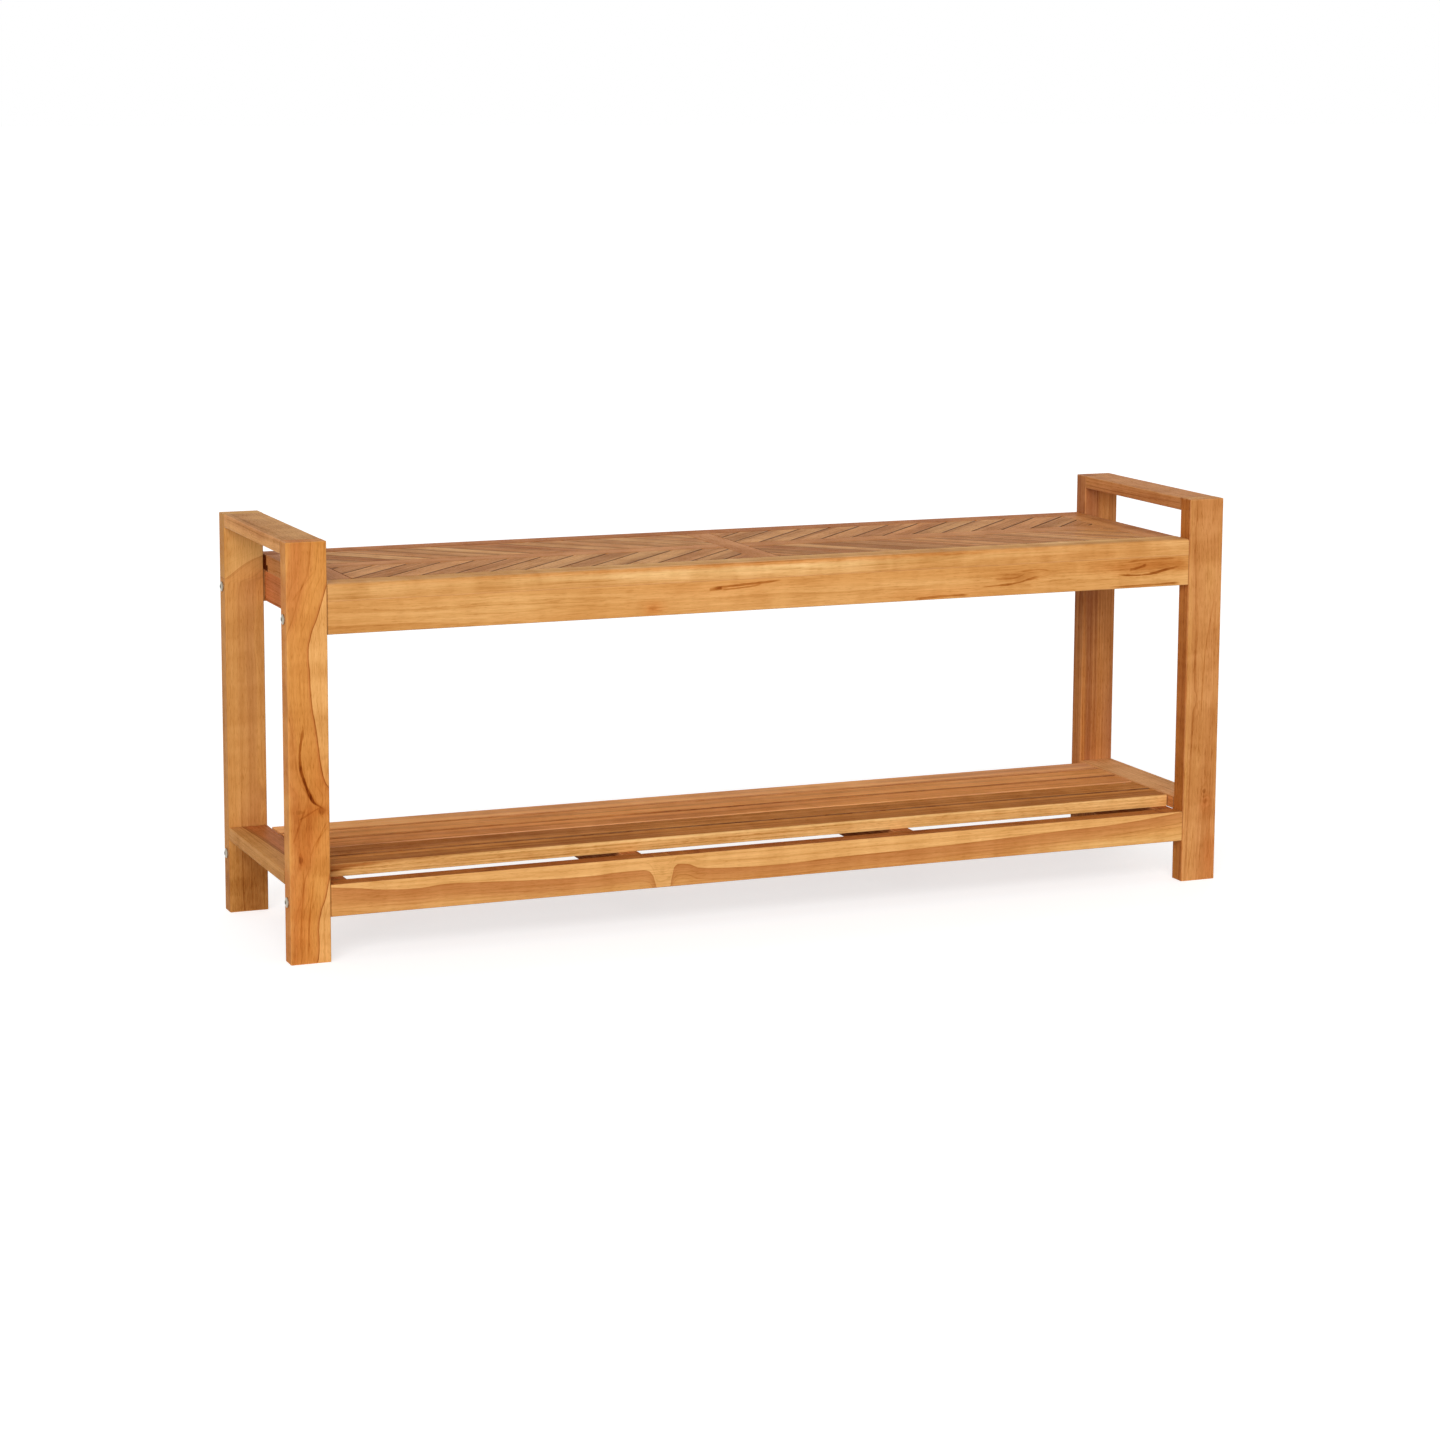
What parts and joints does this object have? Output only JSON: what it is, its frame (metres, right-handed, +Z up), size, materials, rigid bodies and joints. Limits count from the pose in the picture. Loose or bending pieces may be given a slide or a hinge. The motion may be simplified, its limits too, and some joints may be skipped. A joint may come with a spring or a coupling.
{
  "type": "shower bench",
  "caption": "Long wooden bench with two open end frames and arms, a framed seat of chevron slats, and a slatted shelf underneath.",
  "frame": {"origin": "centre of the bench's footprint, on the floor", "axes": "+X along the bench to the right as seen from the front, +Y from the front to the back, +Z up"},
  "size_m": [1.2216, 0.3, 0.49],
  "materials": {
    "end_frame_teak": "oiled, satin",
    "rail_teak": "oiled, satin",
    "seat_teak": "oiled, satin",
    "chevron_teak": "oiled, satin",
    "shelf_teak": "oiled, satin",
    "dowel_wood": "plain beech",
    "bolt_steel": "satin stainless",
    "inner_steel": "plated"
  },
  "bodies": {
    "root": {"left_front_leg": "end_frame_teak", "left_rear_leg": "end_frame_teak", "right_front_leg": "end_frame_teak", "right_rear_leg": "end_frame_teak", "left_arm": "end_frame_teak", "right_arm": "end_frame_teak", "left_stretcher": "end_frame_teak", "right_stretcher": "end_frame_teak", "seat_front_rail": "rail_teak", "seat_rear_rail": "rail_teak", "seat_left_end_rail": "rail_teak", "seat_right_end_rail": "rail_teak", "seat_left_bearer": "rail_teak", "seat_middle_bearer": "rail_teak", "seat_right_bearer": "rail_teak", "seat_front_border": "seat_teak", "seat_rear_border": "seat_teak", "seat_left_border": "seat_teak", "seat_right_border": "seat_teak", "seat_cross_bar": "seat_teak", "seat_left_spine": "seat_teak", "seat_right_spine": "seat_teak", "chevron_slats_front_left": "chevron_teak", "chevron_slats_front_right": "chevron_teak", "chevron_slats_rear_left": "chevron_teak", "chevron_slats_rear_right": "chevron_teak", "shelf_front_rail": "rail_teak", "shelf_rear_rail": "rail_teak", "shelf_left_end_rail": "rail_teak", "shelf_right_end_rail": "rail_teak", "shelf_left_bearer": "rail_teak", "shelf_right_bearer": "rail_teak", "shelf_slat_1": "shelf_teak", "shelf_slat_2": "shelf_teak", "shelf_slat_3": "shelf_teak", "shelf_slat_4": "shelf_teak", "shelf_slat_5": "shelf_teak", "seat_bolts": "bolt_steel", "shelf_bolts": "bolt_steel", "seat_barrel_nuts": "inner_steel", "shelf_barrel_nuts": "inner_steel", "end_frame_dowels": "dowel_wood", "seat_rail_dowels": "dowel_wood", "shelf_rail_dowels": "dowel_wood", "seat_frame_dowels": "dowel_wood", "seat_screws": "inner_steel", "shelf_slat_screws": "inner_steel"}
  },
  "joints": []
}
